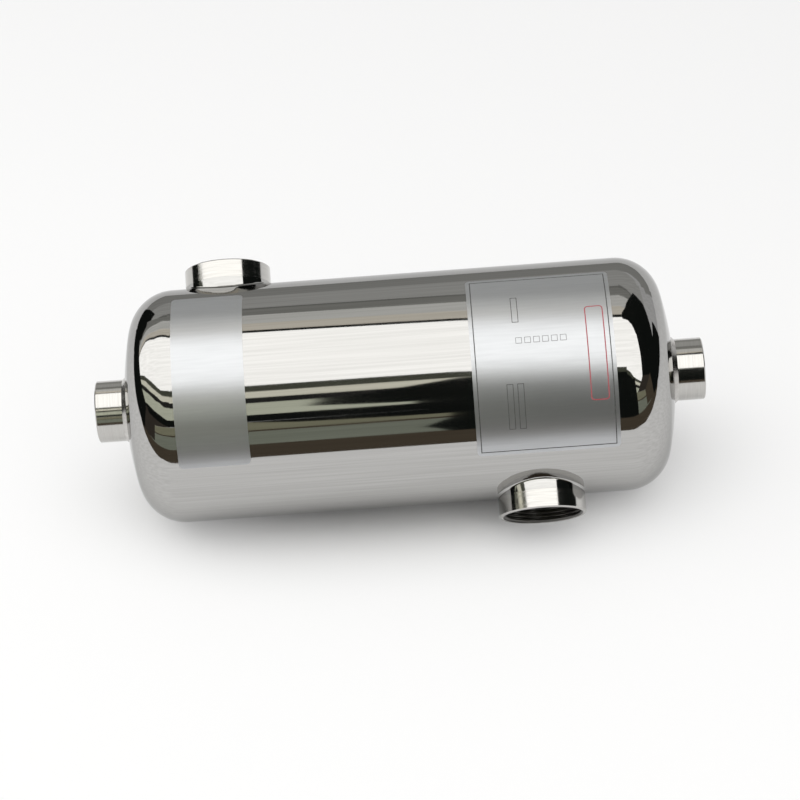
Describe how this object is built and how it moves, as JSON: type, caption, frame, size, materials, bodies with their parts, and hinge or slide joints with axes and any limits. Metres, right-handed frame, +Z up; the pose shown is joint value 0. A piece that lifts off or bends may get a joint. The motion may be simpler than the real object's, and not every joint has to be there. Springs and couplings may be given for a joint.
{
  "type": "shell and tube heat exchanger",
  "caption": "Compact welded stainless steel heat exchanger: round shell with dished heads, a tube bundle inside, threaded end sockets for one circuit and threaded side sockets for the other.",
  "frame": {"origin": "on the floor, under the middle of the overall length and under the shell's axis", "axes": "+X along the shell from the upper side socket's end to the lower side socket's end, +Z up, -Y towards the labels"},
  "size_m": [0.364, 0.1624, 0.1403],
  "materials": {
    "shell_steel": "mirror-polished stainless steel",
    "socket_steel": "turned and polished stainless steel",
    "weld_steel": "brushed weld in stainless steel",
    "tube_steel": "drawn stainless steel tube",
    "plate_steel": "cut stainless steel plate",
    "label_foil": "satin silver foil"
  },
  "bodies": {
    "root": {"baffle_1": "plate_steel", "baffle_2": "plate_steel", "left_end_socket": "socket_steel", "left_head": "shell_steel", "left_socket_weld": "weld_steel", "left_tube_sheet": "plate_steel", "lower_side_socket": "socket_steel", "narrow_label": "label_foil", "right_end_socket": "socket_steel", "right_head": "shell_steel", "right_socket_weld": "weld_steel", "right_tube_sheet": "plate_steel", "shell_barrel": "shell_steel", "tube_01": "tube_steel", "tube_02": "tube_steel", "tube_03": "tube_steel", "tube_04": "tube_steel", "tube_05": "tube_steel", "tube_06": "tube_steel", "tube_07": "tube_steel", "tube_08": "tube_steel", "tube_09": "tube_steel", "tube_10": "tube_steel", "tube_11": "tube_steel", "tube_12": "tube_steel", "tube_13": "tube_steel", "tube_14": "tube_steel", "tube_15": "tube_steel", "tube_16": "tube_steel", "tube_17": "tube_steel", "tube_18": "tube_steel", "tube_19": "tube_steel", "upper_side_socket": "socket_steel", "wide_label": "label_foil"}
  },
  "joints": []
}
